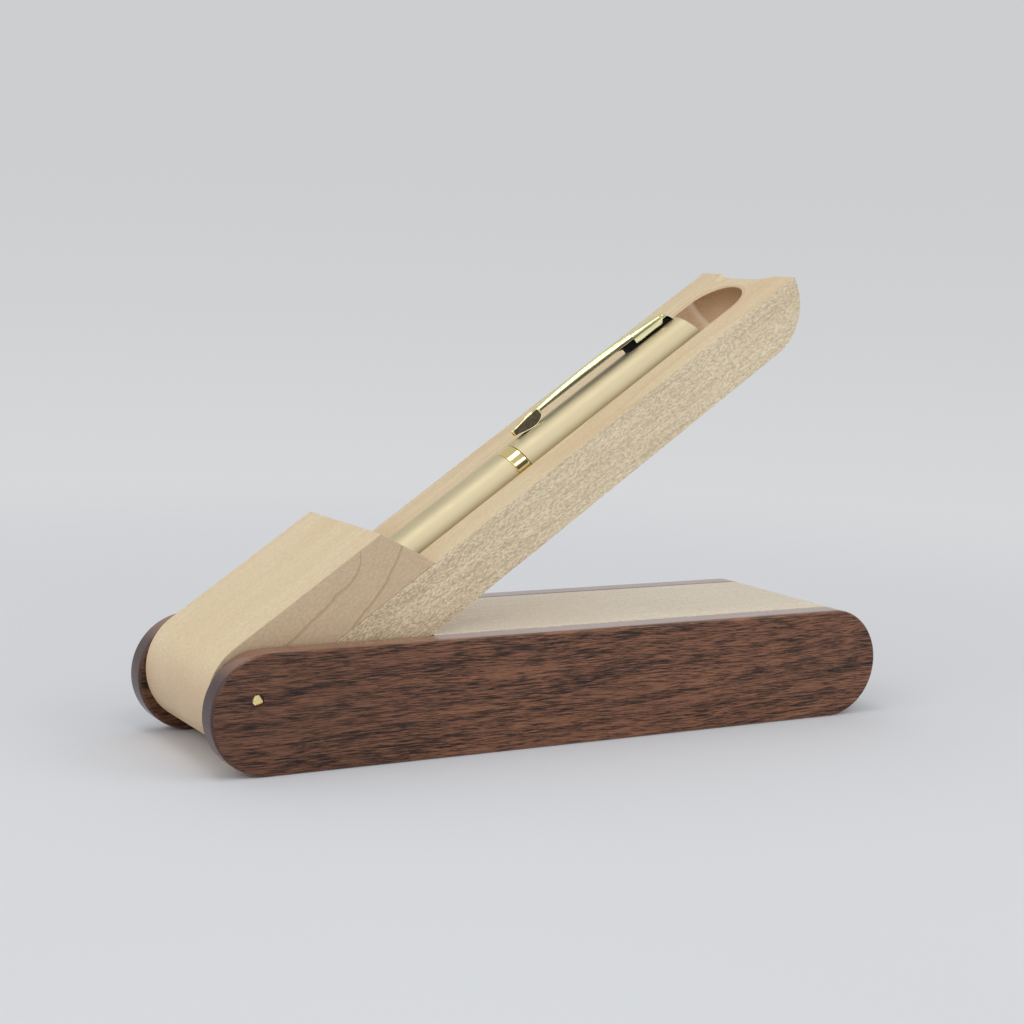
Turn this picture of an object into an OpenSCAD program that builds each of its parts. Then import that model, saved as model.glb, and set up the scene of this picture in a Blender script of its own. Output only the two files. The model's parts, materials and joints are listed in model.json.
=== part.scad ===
// Swing-out pen box: two dark side plates, a pale base block glued between them, and a pale
// holder that turns on a brass pin. Shut, the holder lies under the base block. Swung right
// round, it leans on the base block's top edge and shows the pen.
// The box stands on z = 0 with its length along x. The holder and the pen are drawn in the
// shut box, measured from its round pivot end, and then swung up to their display pose.

/* [Box] */
// Length of the shut box over its round ends
box_l = 176; // [170:1:196]
// Height of the box, which is also the diameter of its round ends
box_h = 26.5; // [26:0.5:30]
// Thickness of each dark side plate
plate_t = 6; // [4:0.5:9]
// Rounding of the side plates' edges
plate_ease = 0.8; // [0.2:0.1:1]

/* [Holder] */
// Width of the holder, which turns between the side plates
holder_w = 37.2; // [32:0.2:44]
// Thickness of the holder's arm
arm_t = 13; // [12:0.5:13.5]
// Distance of the front block's ridge from the round end
ridge_x = 53.9; // [48:0.1:60]
// Run of the slanted face, from the ridge down to the arm
slant_run = 7.4; // [4:0.2:10]

/* [Pivot] */
// Distance of the pivot from the round end
pivot_x = 10.2; // [9:0.2:12]
// Height of the pivot above the table
pivot_z = 16.6; // [16:0.1:18]
// Diameter of the brass pin
pin_d = 2.4; // [2:0.1:3]
// Width of the ring sunk round each end of the pin
pin_ring_w = 0.3; // [0.2:0.05:0.5]
// Depth of the ring sunk round each end of the pin
pin_ring_depth = 0.6; // [0.3:0.1:1]

/* [Pen groove] */
// Width of the round-bottomed groove
groove_w = 17.4; // [16:0.2:19]
// Wood left between the groove's round end and the arm's end
groove_end_wall = 5; // [4:0.5:8]
// Distance of the tunnel's ball end, at its centre, from the round end
tunnel_x = 31; // [29:0.5:34]
// Diameter of the hole that takes the pen's nose
nose_hole_d = 4.8; // [4.2:0.1:5]
// Room left past the pen's extended point in the nose hole
nose_hole_spare = 1.6; // [1:0.1:2]
// Depth of the finger scoop at the arm's end
scoop_depth = 1.3; // [0.6:0.1:2]
// Width of the far rail at the arm's end, past the finger scoop
scoop_rail_w = 7.7; // [6:0.1:9]
// Run of the finger scoop's steep step, down from the far rail
scoop_step_w = 1.5; // [0.8:0.1:2]
// Width of the finger scoop's flat floor
scoop_floor_w = 13; // [10:0.5:15]
// Run of the finger scoop's gentle ramp, up to the near rail
scoop_ramp_w = 7.7; // [5:0.1:9]
// Room in the groove for a finger past the pen's top end
finger_room = 17.2; // [16:0.1:24]

/* [Pen] */
// Diameter of the pen's barrels
pen_d = 11.8; // [11:0.1:12.4]
// Length of the upper barrel
upper_l = 55.8; // [50:0.1:58]
// Bore of the upper barrel
upper_bore_d = 10; // [9.6:0.1:10.4]
// Width of the centre ring
ring_w = 3.6; // [2.6:0.1:5]
// How far the centre ring stands proud of the barrels
ring_proud = 0.05; // [0:0.01:0.12]
// Length of the barrel's long taper towards the nose
taper_l = 26; // [20:1:34]
// Length of the nose tip
nose_l = 9.4; // [8:0.1:11]
// Diameter of the nose tip where it meets the barrel
nose_d = 6.8; // [6.2:0.1:7.2]
// Diameter of the nose tip at its open end
nose_end_d = 3.2; // [3:0.1:3.6]
// Small bevel on the edges of the barrels and the ring
pen_bevel = 0.25; // [0.1:0.05:0.4]
// Length of the nose tip's spigot in the lower barrel
spigot_l = 4; // [3:0.5:6]
// Width of the shoulder between the nose tip's cone and its spigot
spigot_step = 0.8; // [0.6:0.1:1]
// Length of the plug in the pen's top end
plug_l = 12.6; // [11:0.2:16]
// Thickness of the plug's head, which closes the barrel
plug_head_t = 1.6; // [1.2:0.1:1.8]
// Length of the plug's collar at its inner end
plug_collar_l = 3; // [2:0.5:5]
// How much thinner the plug's neck is than the bore, on the radius
plug_neck_step = 1.2; // [0.8:0.1:1.6]

/* [Clip] */
// Length of the clip from its root to its tip
clip_l = 51; // [44:0.1:52]
// Distance of the clip's root from the pen's top end
clip_set = 2.2; // [1.6:0.1:3]
// Width of the clip at its root
clip_w = 3.8; // [3.2:0.1:4.4]
// Width of the clip at its neck
clip_neck_w = 2.6; // [2.2:0.1:3]
// Thickness of the clip's sheet
clip_t = 0.5; // [0.3:0.05:0.6]
// Depth of the clip's folded edges along its arm
clip_fold = 1.1; // [0.8:0.1:1.4]
// Height of the clip's outer face above the barrel at its ends
clip_end_h = 1.3; // [1:0.1:1.8]
// Height of the clip's outer face above the barrel at its crown
clip_crown_h = 3.5; // [2.6:0.05:4]
// Distance from the clip's root to the far ends of its deep folded cheeks
cheek_l = 14.3; // [10:0.1:17]
// Distance from the clip's root to where the cheeks start
cheek_set = 3; // [2:0.1:4]
// Length of the tab that is bent down through the barrel's slot
tab_l = 1.4; // [1:0.1:1.6]
// Length of the rounded shoe at the tip
shoe_l = 8.2; // [6:0.2:10]
// Radius of the shoe's heel
shoe_r = 1.6; // [1.2:0.1:2.2]
// Width of the clip at its toe
clip_toe_w = 1.8; // [1.4:0.1:2.2]
// How far the clip is rolled from the top of the pen to its far side
clip_roll = 12; // [0:1:30]

/* [Twist mechanism] */
// Diameter of the twist body that joins the two barrels
twist_d = 8.2; // [7.8:0.1:8.6]
// Length of the twist body held in the lower barrel
twist_lower_l = 16; // [12:1:20]
// Length of the twist head held in the upper barrel
twist_head_l = 22; // [18:1:26]
// Thickness of the twist head's end wall
twist_wall = 1; // [0.6:0.1:1.6]
// Diameter of the refill's ink tube
refill_d = 3.2; // [2.8:0.1:3.4]
// Diameter of the refill's metal point
point_d = 2.3; // [2:0.1:2.4]
// Length of the refill's metal point
point_l = 9; // [7:0.5:11]
// Length of the point's coned tip
point_cone_l = 2.2; // [1.6:0.1:3]
// Diameter of the point's writing end
point_ball_d = 0.8; // [0.5:0.1:1]
// Length of the point's tail, which is pressed into the ink tube
point_tail_l = 4; // [3:0.5:6]
// How far the point lies inside the nose when it is drawn in
point_drawn_in = 1.2; // [0.6:0.1:2]
// Travel of the point for half a turn of the barrel
point_travel = 4.2; // [3:0.1:5]

/* [Clearances] */
// Gap between the holder and each side plate
side_gap = 0.3; // [0.1:0.05:0.6]
// Gap between the slanted faces when the box is shut
slant_gap = 0.3; // [0.1:0.05:0.6]
// Gap between the shut holder and the base block above it
shelf_gap = 0.3; // [0.1:0.05:0.6]
// Gap between the leaning holder and the base block's edge
stop_gap = 0.1; // [0.05:0.05:0.3]
// Running clearance round the pivot pin, on the radius
pin_run = 0.05; // [0.02:0.01:0.1]
// Gap between the pen and the groove's bottom
pen_gap = 0.15; // [0.05:0.05:0.3]
// Gap between the pen's nose and its seat, on the radius
seat_gap = 0.1; // [0.05:0.05:0.2]
// Gap between the ring and the upper barrel, which turn on each other
twist_gap = 0.15; // [0.1:0.05:0.3]
// Running clearance inside the pen, on the radius
pen_run = 0.08; // [0.03:0.01:0.1]
// Clearance of the pieces fixed inside the pen, on the radius
pen_fix = 0.02; // [0.01:0.01:0.04]
// Gap between the clip and the barrel
clip_gap = 0.05; // [0.02:0.01:0.1]
// Room round the ink tube in the lower barrel, on the radius
tube_room = 0.6; // [0.3:0.1:0.8]
// Room past the ink tube's shoulder in the nose tip when the point is out
shoulder_room = 0.5; // [0.3:0.1:0.8]

/* [Hidden] */
$fn = 96;
// Overshoot that lets one shape cut cleanly through another
cut = 1;
// Segments of the clip's long shallow arch
arch_fn = 720;

dark_wood = [0.33, 0.2, 0.15];
pale_wood = [0.85, 0.76, 0.58];
brass = [0.8, 0.62, 0.3];
gold = [0.9, 0.78, 0.42];
champagne = [0.82, 0.74, 0.56];
steel = [0.7, 0.7, 0.72];
ink_tube = [0.9, 0.88, 0.8];

// Box
end_r = box_h / 2;
inner_w = holder_w + 2 * side_gap;
box_w = inner_w + 2 * plate_t;
shelf_z = arm_t + shelf_gap;

// Slanted faces: the front block's runs from its ridge to its foot, the base block's beside it
slant_h = box_h - arm_t;
slant_shift = slant_gap * norm([slant_run, slant_h]) / slant_h;
base_edge_x = ridge_x + slant_shift;
base_foot_x = base_edge_x + slant_run * (box_h - shelf_z) / slant_h;

// Display pose: the arm's underside leans on the base block's upper edge
stop_reach = norm([base_edge_x - pivot_x, box_h - pivot_z]);
display_angle = atan2(box_h - pivot_z, base_edge_x - pivot_x) + asin((pivot_z + stop_gap) / stop_reach);

// Groove and pen seat
groove_r = groove_w / 2;
groove_x = box_l - groove_end_wall - groove_r;
pen_r = pen_d / 2;
pen_z = arm_t - groove_r + pen_gap + pen_r;
nose_hole_r = nose_hole_d / 2;
nose_r = nose_d / 2;
nose_end_r = nose_end_d / 2;
seat_x = tunnel_x - sqrt(pow(groove_r, 2) - pow(arm_t - pen_z + nose_hole_r, 2));
nose_to_seat = nose_l * (nose_hole_r - seat_gap - nose_end_r) / (nose_r - nose_end_r);
pen_x = seat_x - nose_to_seat;
nose_hole_x = pen_x + point_drawn_in - point_travel - nose_hole_spare;
scoop_x = groove_x + groove_r;
scoop_angle = atan(scoop_depth / groove_end_wall);
scoop_far_y = holder_w / 2 - scoop_rail_w - scoop_step_w;
scoop_near_y = scoop_far_y - scoop_floor_w;

// Stations along the pen from its nose to its top end, which leaves room for a finger
pen_l = scoop_x - finger_room - pen_x;
upper_s = pen_l - upper_l;
ring_s = upper_s - ring_w;
taper_s = nose_l + taper_l;
taper_r = (pow(taper_l, 2) + pow(pen_r - nose_r, 2)) / (2 * (pen_r - nose_r));
bore_r = upper_bore_d / 2;

// Twist mechanism and refill
twist_r = twist_d / 2;
twist_top_s = upper_s + twist_head_l;
refill_r = refill_d / 2;
refill_end_s = twist_top_s - twist_gap;
point_r = point_d / 2;
point_s = point_drawn_in + point_l;
spigot_r = nose_r - spigot_step;
nose_step_s = point_s - point_travel - shoulder_room;

// Clip heights from the pen's axis, and its stations
clip_root_s = pen_l - clip_set;
clip_tip_s = clip_root_s - clip_l;
clip_mid_s = (clip_root_s + clip_tip_s) / 2;
crown_h = pen_r + clip_crown_h;
arch_rise = clip_crown_h - clip_end_h;
arch_r = (pow(clip_l / 2, 2) + pow(arch_rise, 2)) / (2 * arch_rise);
cheek_h = sqrt(pow(pen_r, 2) - pow(clip_w / 2 - clip_t, 2)) + clip_gap;
shoe_h = pen_r + clip_gap + shoe_r;
shoe_s = clip_tip_s + shoe_l - shoe_r;
shoe_toe = [pen_r + clip_end_h - clip_fold, clip_tip_s];
shoe_reach = norm([shoe_h, shoe_s] - shoe_toe);
shoe_turn = atan2(shoe_s - shoe_toe.y, shoe_h - shoe_toe.x) + asin(shoe_r / shoe_reach);
shoe_tangent = shoe_toe + sqrt(pow(shoe_reach, 2) - pow(shoe_r, 2)) * [cos(shoe_turn), sin(shoe_turn)];
tab_w = clip_w - 2 * clip_t;
tab_top_h = pen_r + clip_end_h - clip_t / 2;

// End plug
plug_s = pen_l - plug_l;
plug_head_s = pen_l - plug_head_t;
plug_neck_r = bore_r - plug_neck_step;

// Moves a shape measured from the round end to the box's centre
module in_box() {
    translate([-box_l / 2, 0, 0]) children();
}

// Swings a shape of the shut holder up to its display pose
module swung() {
    in_box()
        translate([pivot_x, 0, pivot_z])
            rotate([0, -display_angle, 0])
                translate([-pivot_x, 0, -pivot_z])
                    children();
}

// Stands an outline of the box's side upright and gives it a width along y
module across(width) {
    rotate([90, 0, 0])
        linear_extrude(width, center = true)
            children();
}

// Side outline of the whole box: straight runs with full round ends
module box_outline() {
    translate([end_r, 0])
        square([box_l - 2 * end_r, box_h]);
    for (x = [end_r, box_l - end_r])
        translate([x, end_r])
            circle(end_r);
}

// Rectangle with rounded corners
module eased_rectangle(size, r) {
    translate([r, 0])
        square([size.x - 2 * r, size.y]);
    translate([0, r])
        square([size.x, size.y - 2 * r]);
    for (x = [r, size.x - r], y = [r, size.y - r])
        translate([x, y])
            circle(r);
}

// Rod along y at the pivot
module pivot_rod(d, length) {
    translate([pivot_x, 0, pivot_z])
        rotate([90, 0, 0])
            cylinder(d = d, h = length, center = true);
}

// Round-nosed cutter's path along x, from one ball end to the other
module ball_cut(x0, x1, z) {
    translate([x0, 0, z]) {
        rotate([0, 90, 0])
            cylinder(r = groove_r, h = x1 - x0);
        sphere(groove_r);
    }
    translate([x1, 0, z])
        sphere(groove_r);
}

// Turns a profile of radius against station into a piece of the pen in its groove
module pen_turned() {
    pen_laid()
        rotate_extrude()
            children();
}

// Lays a shape that stands on the pen's nose into the groove
module pen_laid() {
    swung()
        translate([pen_x, 0, pen_z])
            rotate([0, 90, 0])
                children();
}

// One ring of a turned profile, between two radii and two stations
module turned_band(r0, r1, s0, s1) {
    translate([r0, s0])
        square([r1 - r0, s1 - s0]);
}

// The same with its outer edges bevelled
module bevelled_band(r0, r1, s0, s1, b) {
    polygon([[r0, s0], [r1 - b, s0], [r1, s0 + b], [r1, s1 - b], [r1 - b, s1], [r0, s1]]);
}

// Stadium-shaped plate with rounded edges, lying flat with its pin hole
module plate_blank() {
    difference() {
        union() {
            for (x = [end_r, box_l - end_r])
                translate([x, end_r, 0])
                    rotate_extrude()
                        intersection() {
                            translate([-end_r, 0])
                                eased_rectangle([box_h, plate_t], plate_ease);
                            square([end_r, plate_t]);
                        }
            translate([end_r, 0, 0])
                rotate([90, 0, 90])
                    linear_extrude(box_l - 2 * end_r)
                        eased_rectangle([box_h, plate_t], plate_ease);
        }
        translate([pivot_x, pivot_z, -cut])
            cylinder(d = pin_d, h = plate_t + 2 * cut);
        translate([pivot_x, pivot_z, plate_t - pin_ring_depth])
            cylinder(d = pin_d + 2 * pin_ring_w, h = pin_ring_depth + cut);
    }
}

module near_side_plate() {
    color(dark_wood)
        in_box()
            translate([0, -inner_w / 2, 0])
                rotate([90, 0, 0])
                    plate_blank();
}

module far_side_plate() {
    color(dark_wood)
        mirror([0, 1, 0])
            in_box()
                translate([0, -inner_w / 2, 0])
                    rotate([90, 0, 0])
                        plate_blank();
}

// Block over the shut holder, with a groove below for the pen's upper half
module base_block() {
    color(pale_wood)
        in_box()
            difference() {
                across(inner_w)
                    intersection() {
                        box_outline();
                        polygon([
                            [base_edge_x, box_h],
                            [box_l, box_h],
                            [box_l, shelf_z],
                            [base_foot_x, shelf_z]
                        ]);
                    }
                ball_cut(ridge_x - groove_r, groove_x, shelf_z);
            }
}

module pivot_pin() {
    color(brass)
        in_box()
            pivot_rod(pin_d, box_w);
}

// Groove, tunnel and nose hole for the pen, cut through both holder pieces
module pen_space() {
    ball_cut(tunnel_x, groove_x, arm_t);
    translate([nose_hole_x, 0, pen_z])
        rotate([0, 90, 0])
            cylinder(d = nose_hole_d, h = tunnel_x - nose_hole_x);
}

// Shallow finger scoop, sloping down from the groove's rim to the arm's end. Its section, drawn to
// twice its depth, has a steep step on the far side and a gentle ramp on the near side.
module finger_scoop() {
    translate([scoop_x, 0, arm_t])
        rotate([0, scoop_angle, 0])
            rotate([90, 0, 90])
                linear_extrude(2 * groove_end_wall)
                    polygon([
                        [scoop_near_y, 0],
                        [scoop_far_y, 0],
                        [scoop_far_y + 2 * scoop_step_w, 2 * scoop_depth],
                        [scoop_near_y - 2 * scoop_ramp_w, 2 * scoop_depth]
                    ]);
}

module holder_arm() {
    color(pale_wood)
        swung()
            difference() {
                across(holder_w)
                    intersection() {
                        box_outline();
                        square([box_l, arm_t]);
                    }
                pen_space();
                finger_scoop();
            }
}

module holder_front_block() {
    color(pale_wood)
        swung()
            difference() {
                across(holder_w)
                    intersection() {
                        box_outline();
                        polygon([
                            [0, arm_t],
                            [0, box_h],
                            [ridge_x, box_h],
                            [ridge_x + slant_run, arm_t]
                        ]);
                    }
                pen_space();
                pivot_rod(pin_d + 2 * pin_run, box_w);
            }
}

// Stands an outline of height against station on the clip's centre plane
module clip_side(width) {
    rotate([0, 0, 180 - clip_roll])
        rotate([90, 0, 0])
            linear_extrude(width, center = true)
                children();
}

// Raises an outline of width against station through the clip's height
module clip_plan() {
    rotate([0, 0, 180 - clip_roll])
        rotate([90, 0, 90])
            linear_extrude(crown_h + cut)
                children();
}

// Everything below the clip's arched outer face, or a face that lies deeper by inset
module under_arch(inset) {
    translate([crown_h - arch_r, clip_mid_s])
        circle(arch_r - inset, $fn = arch_fn);
}

// Side view of the clip: a shallow folded arm, deep cheeks at the root, a shoe at the tip
module clip_outline() {
    intersection() {
        under_arch(0);
        union() {
            difference() {
                translate([0, clip_tip_s])
                    square([crown_h, clip_l]);
                under_arch(clip_fold);
            }
            translate([cheek_h, clip_root_s - cheek_l])
                square([crown_h, cheek_l - cheek_set]);
            translate([shoe_h, shoe_s])
                circle(shoe_r);
            polygon([shoe_toe, shoe_tangent, [shoe_h, shoe_s], [crown_h, shoe_s], [crown_h, clip_tip_s]]);
        }
    }
}

// Top view of the clip, or of the hollow inside its sheet
module clip_top_outline(inset) {
    stations = [
        [clip_tip_s + inset, clip_toe_w],
        [clip_tip_s + shoe_l / 3, clip_neck_w],
        [clip_tip_s + shoe_l, clip_neck_w],
        [clip_root_s - cheek_l, clip_w],
        [clip_root_s - inset, clip_w]
    ];
    polygon([
        for (p = stations) [p[1] / 2 - inset, p[0]],
        for (i = [len(stations) - 1 : -1 : 0]) [inset - stations[i][1] / 2, stations[i][0]]
    ]);
}

// Folded sheet, open below, with a tab bent down through the barrel's slot
module pen_clip() {
    color(gold)
        pen_laid() {
            difference() {
                intersection() {
                    clip_side(clip_w)
                        clip_outline();
                    clip_plan()
                        clip_top_outline(0);
                }
                intersection() {
                    clip_side(clip_w)
                        under_arch(clip_t);
                    clip_plan()
                        clip_top_outline(clip_t);
                }
            }
            clip_side(tab_w)
                translate([plug_neck_r + clip_gap, clip_root_s - tab_l])
                    square([tab_top_h - plug_neck_r - clip_gap, tab_l]);
        }
}

// Tube with a slot for the clip's tab
module pen_upper_barrel() {
    color(champagne)
        difference() {
            pen_turned()
                bevelled_band(bore_r, pen_r, upper_s + twist_gap, pen_l, pen_bevel);
            pen_laid()
                clip_side(tab_w + 2 * clip_gap)
                    translate([plug_neck_r, clip_root_s - tab_l - clip_gap])
                        square([pen_r, tab_l + 2 * clip_gap]);
        }
}

// Plug that closes the upper barrel and backs the clip's tab
module pen_end_plug() {
    color(champagne)
        pen_turned() {
            turned_band(0, bore_r - pen_fix, plug_s, plug_s + plug_collar_l);
            turned_band(0, plug_neck_r, plug_s, pen_l);
            turned_band(0, bore_r - pen_fix, plug_head_s, pen_l);
        }
}

// Sleeve fixed in the upper barrel, in which the twist body turns
module pen_twist_head() {
    color(brass)
        pen_turned() {
            turned_band(twist_r + pen_run, bore_r - pen_fix, upper_s + twist_gap, twist_top_s);
            turned_band(refill_r + pen_run, bore_r - pen_fix, twist_top_s, twist_top_s + twist_wall);
        }
}

// Tube fixed in the lower barrel, through the ring and up into the twist head
module pen_twist_body() {
    color(brass)
        pen_turned()
            turned_band(refill_r + pen_run, twist_r, ring_s - twist_lower_l, twist_top_s - twist_gap);
}

module pen_centre_ring() {
    color(gold)
        pen_turned()
            bevelled_band(twist_r + pen_fix, pen_r + ring_proud, ring_s, upper_s, pen_bevel);
}

// Tube that tapers to the nose on one long arc
module pen_lower_barrel() {
    color(champagne)
        pen_turned()
            difference() {
                union() {
                    bevelled_band(0, pen_r, taper_s, ring_s, pen_bevel);
                    turned_band(0, pen_r, taper_s, taper_s + 2 * pen_bevel);
                    intersection() {
                        turned_band(0, pen_r, nose_l, taper_s);
                        translate([pen_r - taper_r, taper_s])
                            circle(taper_r, $fn = arch_fn);
                    }
                }
                turned_band(0, refill_r + tube_room, nose_l, ring_s);
                turned_band(0, spigot_r + pen_fix, nose_l, nose_l + spigot_l);
                turned_band(0, twist_r + pen_fix, ring_s - twist_lower_l, ring_s);
            }
}

// Cone with a spigot in the barrel and a stepped bore for the refill
module pen_nose_tip() {
    color(gold)
        pen_turned()
            difference() {
                union() {
                    polygon([[0, 0], [nose_end_r, 0], [nose_r, nose_l], [0, nose_l]]);
                    turned_band(0, spigot_r, nose_l, nose_l + spigot_l);
                }
                turned_band(0, point_r + pen_run, 0, nose_l + spigot_l);
                turned_band(0, refill_r + pen_run, nose_step_s, nose_l + spigot_l);
            }
}

module pen_refill_tube() {
    color(ink_tube)
        pen_turned()
            turned_band(point_r + pen_fix, refill_r, point_s, refill_end_s);
}

// Rod with a coned tip, pressed into the ink tube
module pen_refill_point() {
    color(steel)
        pen_turned()
            polygon([
                [0, point_drawn_in],
                [point_ball_d / 2, point_drawn_in],
                [point_r, point_drawn_in + point_cone_l],
                [point_r, point_s + point_tail_l],
                [0, point_s + point_tail_l]
            ]);
}

near_side_plate();
far_side_plate();
base_block();
pivot_pin();
holder_arm();
holder_front_block();
pen_upper_barrel();
pen_clip();
pen_end_plug();
pen_twist_head();
pen_twist_body();
pen_centre_ring();
pen_lower_barrel();
pen_nose_tip();
pen_refill_tube();
pen_refill_point();
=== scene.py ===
"""Looks of the swing-out pen box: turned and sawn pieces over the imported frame, woods and metals.

Lengths are in metres. The wooden pieces of the holder and the pen are modelled in the shut box,
measured from its round pivot end, and then swung up to their display pose.
"""
import json
import math
from contextlib import contextmanager

import bmesh
import bpy
from mathutils import Matrix, Vector


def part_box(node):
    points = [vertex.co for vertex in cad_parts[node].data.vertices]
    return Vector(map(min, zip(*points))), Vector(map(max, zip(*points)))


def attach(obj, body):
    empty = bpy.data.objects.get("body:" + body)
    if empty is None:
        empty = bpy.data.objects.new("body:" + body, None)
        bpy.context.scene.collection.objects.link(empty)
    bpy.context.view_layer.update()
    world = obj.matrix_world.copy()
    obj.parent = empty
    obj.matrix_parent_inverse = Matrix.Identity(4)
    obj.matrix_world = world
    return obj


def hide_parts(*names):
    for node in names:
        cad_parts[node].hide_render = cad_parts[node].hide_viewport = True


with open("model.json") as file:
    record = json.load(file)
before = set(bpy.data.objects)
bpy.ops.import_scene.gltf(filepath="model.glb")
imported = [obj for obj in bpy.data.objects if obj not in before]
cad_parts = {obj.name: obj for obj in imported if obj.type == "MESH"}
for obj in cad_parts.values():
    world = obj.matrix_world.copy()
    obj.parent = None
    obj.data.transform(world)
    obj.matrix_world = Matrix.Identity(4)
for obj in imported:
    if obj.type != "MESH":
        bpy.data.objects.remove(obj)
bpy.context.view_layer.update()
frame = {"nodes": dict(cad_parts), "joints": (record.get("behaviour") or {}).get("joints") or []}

MM = 0.001
joints = {joint["name"]: joint for joint in frame["joints"]}

# Display pose, from the joints: the pivot, and the line on which the pen lies
pivot = Vector(joints["holder_swing"]["pos_m"])
pen_nose = Vector(joints["pen_twist"]["pos_m"])
pen_line = Vector(joints["pen_twist"]["axis"]).normalized()
display_angle = math.atan2(pen_line.z, pen_line.x)

# Box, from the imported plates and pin
plate_low, plate_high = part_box("near_side_plate")
box_l = plate_high.x - plate_low.x
box_h = plate_high.z - plate_low.z
box_start = Vector((plate_low.x, 0, 0))
plate_t = plate_high.y - plate_low.y
inner_w = -2 * plate_high.y
end_r = box_h / 2
pin_low, pin_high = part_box("pivot_pin")
pin_r = (pin_high.z - pin_low.z) / 2
pin_x = pivot.x - box_start.x
shelf_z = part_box("base_block")[0].z

# Shut box to display pose, and the standing pen to its groove
to_display = (
    Matrix.Translation(pivot)
    @ Matrix.Rotation(-display_angle, 4, "Y")
    @ Matrix.Translation(box_start - pivot)
)
to_shut = to_display.inverted()
pen_to_display = Matrix.Translation(pen_nose) @ Matrix.Rotation(math.pi / 2 - display_angle, 4, "Y")


def shut_box(node):
    """Lowest and highest corner of a holder node, measured in the shut box."""
    corners = [to_shut @ v.co for v in frame["nodes"][node].data.vertices]
    low = Vector(min(c[i] for c in corners) for i in range(3))
    high = Vector(max(c[i] for c in corners) for i in range(3))
    return low, high


def stations(node):
    """Where a pen node starts and ends, along the pen from its nose."""
    along = [(v.co - pen_nose).dot(pen_line) for v in frame["nodes"][node].data.vertices]
    return min(along), max(along)


def width_of(node):
    """A node's width across the box."""
    low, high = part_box(node)
    return high.y - low.y


# Holder
arm_t = shut_box("holder_arm")[1].z
holder_w = width_of("holder_arm")
slant_foot_x = shut_box("holder_front_block")[1].x
slant_run = 7.4 * MM
slant_gap = 0.3 * MM
slant_foot = Vector((slant_foot_x, 0, arm_t))
slant_normal = Vector((box_h - arm_t, 0, slant_run)).normalized()
groove_r = 8.7 * MM
groove_end_wall = 5 * MM
groove_x = box_l - groove_end_wall - groove_r
tunnel_x = 31 * MM
nose_hole_r = 2.4 * MM
nose_hole_l = 15.5 * MM
scoop_depth = 1.1 * MM
scoop_rail_w = 7.7 * MM
scoop_step_w = 1.5 * MM
scoop_floor_w = 13 * MM
scoop_ramp_w = 7.7 * MM
scoop_valley_ease = 3 * MM
scoop_foot_ease = 0.5 * MM
joint_margin = 0.01 * MM
pen_z = (to_shut @ pen_nose).z
pin_run = 0.05 * MM
pin_ring_w = 0.16 * MM
pin_ring_depth = 0.6 * MM
pin_ease = 0.12 * MM
filed_flat_r = 0.7 * MM
filed_ease = 0.06 * MM
FILE_LEAN = math.radians(38)
FILE_TURNS = [-75, 40, 160]

# Growth lines on the front block's sides, in millimetres in the shut box: a line starts at x and z,
# rises with a slope, and bends upwards past bend_x. On the arm they follow a slow noise.
GROWTH_LINES = [
    {"x": 24.5, "z": 19.9, "slope": 0.12, "bend_x": 45.6, "bend": 1.7},
    {"x": 36.8, "z": 13.2, "slope": 0.27, "bend_x": 52.0, "bend": 4.2},
]
GROWTH_LINE_FADE = 0.9
GROWTH_LINE_EDGE = 0.25
FIGURE_LINES = 6
GROOVE_RING_SPACING = 0.5

# Small edges, as the sanding leaves them
plate_ease = 0.8 * MM
block_ease = 0.25 * MM
groove_ease = 0.3 * MM
pen_ease = 0.2 * MM

# Fineness of the round shapes
END_STEPS = 192
BORE_STEPS = 64
LATHE_STEPS = 160
BALL_SEGMENTS = 96
BALL_RINGS = 49


# Handling of pieces
def take(piece):
    """Selects one piece alone and makes it the active one."""
    bpy.ops.object.select_all(action="DESELECT")
    piece.select_set(True)
    bpy.context.view_layer.objects.active = piece


def started(name):
    """Names the primitive that was just added and puts its place into its mesh."""
    piece = bpy.context.object
    piece.name = name
    piece.data.name = name
    take(piece)
    bpy.ops.object.transform_apply(location=True, rotation=True, scale=True)
    return piece


def moved(piece, matrix):
    """Moves a piece and puts its new place into its mesh."""
    take(piece)
    piece.matrix_world = matrix
    bpy.ops.object.transform_apply(location=True, rotation=True, scale=True)
    return piece


@contextmanager
def bench(piece):
    """Edit mode on one piece."""
    take(piece)
    bpy.ops.object.mode_set(mode="EDIT")
    bpy.ops.mesh.select_mode(type="VERT")
    bpy.ops.mesh.select_all(action="SELECT")
    yield piece
    bpy.ops.object.mode_set(mode="OBJECT")


def pick(piece, kind, wanted):
    """In edit mode, selects the corners, edges or faces that are wanted, and nothing else."""
    bpy.ops.mesh.select_mode(type=kind)
    bpy.ops.mesh.select_all(action="DESELECT")
    mesh = bmesh.from_edit_mesh(piece.data)
    for part in {"VERT": mesh.verts, "EDGE": mesh.edges, "FACE": mesh.faces}[kind]:
        part.select_set(wanted(part))
    mesh.select_flush_mode()
    bmesh.update_edit_mesh(piece.data)


def face_outwards(piece):
    with bench(piece):
        bpy.ops.mesh.normals_make_consistent(inside=False)


def apply_modifier(piece, kind, **settings):
    take(piece)
    bpy.ops.object.modifier_add(type=kind)
    modifier = piece.modifiers[-1]
    for name, value in settings.items():
        setattr(modifier, name, value)
    bpy.ops.object.modifier_apply(modifier=modifier.name)


def carve(piece, *cutters):
    """Cuts each cutter's shape out of a piece and throws the cutter away."""
    for cutter in cutters:
        apply_modifier(piece, "BOOLEAN", operation="DIFFERENCE", solver="EXACT", object=cutter)
        bpy.data.objects.remove(cutter)


def saw(piece, point, normal):
    """Saws off what lies past a plane, on the side of its normal."""
    with bench(piece):
        bpy.ops.mesh.bisect(plane_co=point, plane_no=normal, use_fill=True, clear_outer=True)


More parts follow.
